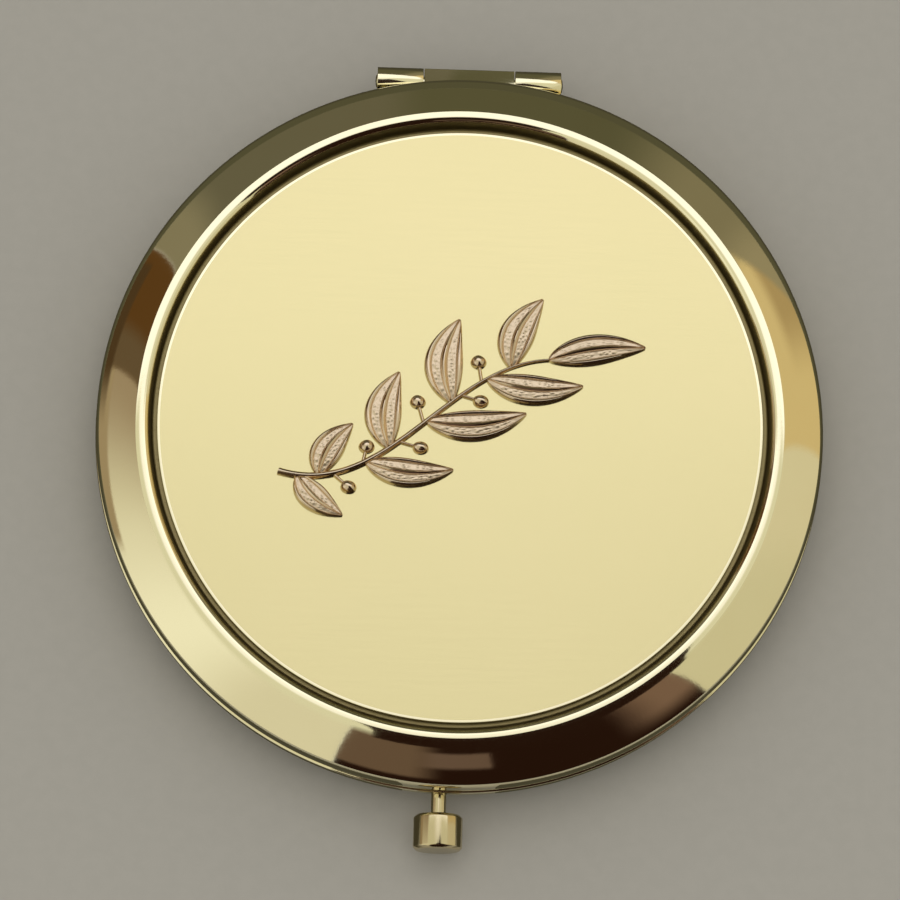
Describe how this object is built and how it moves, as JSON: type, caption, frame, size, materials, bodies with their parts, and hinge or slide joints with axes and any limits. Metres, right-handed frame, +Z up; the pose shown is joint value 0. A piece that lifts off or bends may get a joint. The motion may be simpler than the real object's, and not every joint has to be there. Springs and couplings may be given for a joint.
{
  "type": "compact mirror",
  "caption": "Round pocket compact mirror, closed: gold pressed lid and base on a pin hinge at the back, recessed disc with a rose-gold sprig, push button and latch at the front.",
  "frame": {"origin": "Centre of the base's crest ring, on the plane that the closed compact rests on", "axes": "+Z up through the lid, +Y towards the hinge, -Y towards the push button, +X to the right when the button faces the viewer"},
  "size_m": [0.07, 0.0768, 0.01],
  "materials": {
    "gold_shell": "pressed sheet with mirror-bright light gold plating",
    "satin_gold_disc": "light gold plating with a fine satin grain",
    "gold_ring": "bright light gold plating",
    "gold_hinge": "bright light gold plating",
    "gold_knob": "turned and plated light gold",
    "rose_gold": "cast relief plated rose gold, bright borders and pebbled fields",
    "mirror_glass": "silvered float glass",
    "adhesive_pad": "double-sided foam pad",
    "adhesive_film": "double-sided adhesive film",
    "latch_steel": "plain nickel-plated steel",
    "spring_steel": "bright spring wire"
  },
  "bodies": {
    "base": {"base_shell": "gold_shell", "base_mirror_pad": "adhesive_pad", "base_mirror": "mirror_glass", "base_mirror_ring": "gold_ring", "base_hinge_leaf": "gold_hinge", "hinge_pin": "gold_hinge", "latch_bracket": "latch_steel", "return_spring": "spring_steel"},
    "lid": {"lid_shell": "gold_shell", "lid_disc_tape": "adhesive_film", "lid_insert_disc": "satin_gold_disc", "emblem": "rose_gold", "lid_mirror_pad": "adhesive_pad", "lid_mirror": "mirror_glass", "lid_mirror_ring": "gold_ring", "lid_hinge_leaf": "gold_hinge", "lid_catch": "latch_steel"},
    "button": {"button_knob": "gold_knob", "button_stem": "gold_knob", "stop_collar": "latch_steel", "latch_hook": "latch_steel"}
  },
  "joints": [
    {"name": "lid_hinge", "type": "hinge", "parent": "base", "child": "lid", "pos_m": [0, 0.03525, 0.005], "axis": [-1, 0, 0], "range_deg": [0, 180]},
    {"name": "button_press", "type": "slide", "parent": "base", "child": "button", "axis": [0, 1, 0], "range_m": [0, 0.001], "stiffness_N_per_m": 800, "springref_m": -0.0015, "deforming": ["return_spring"]}
  ]
}
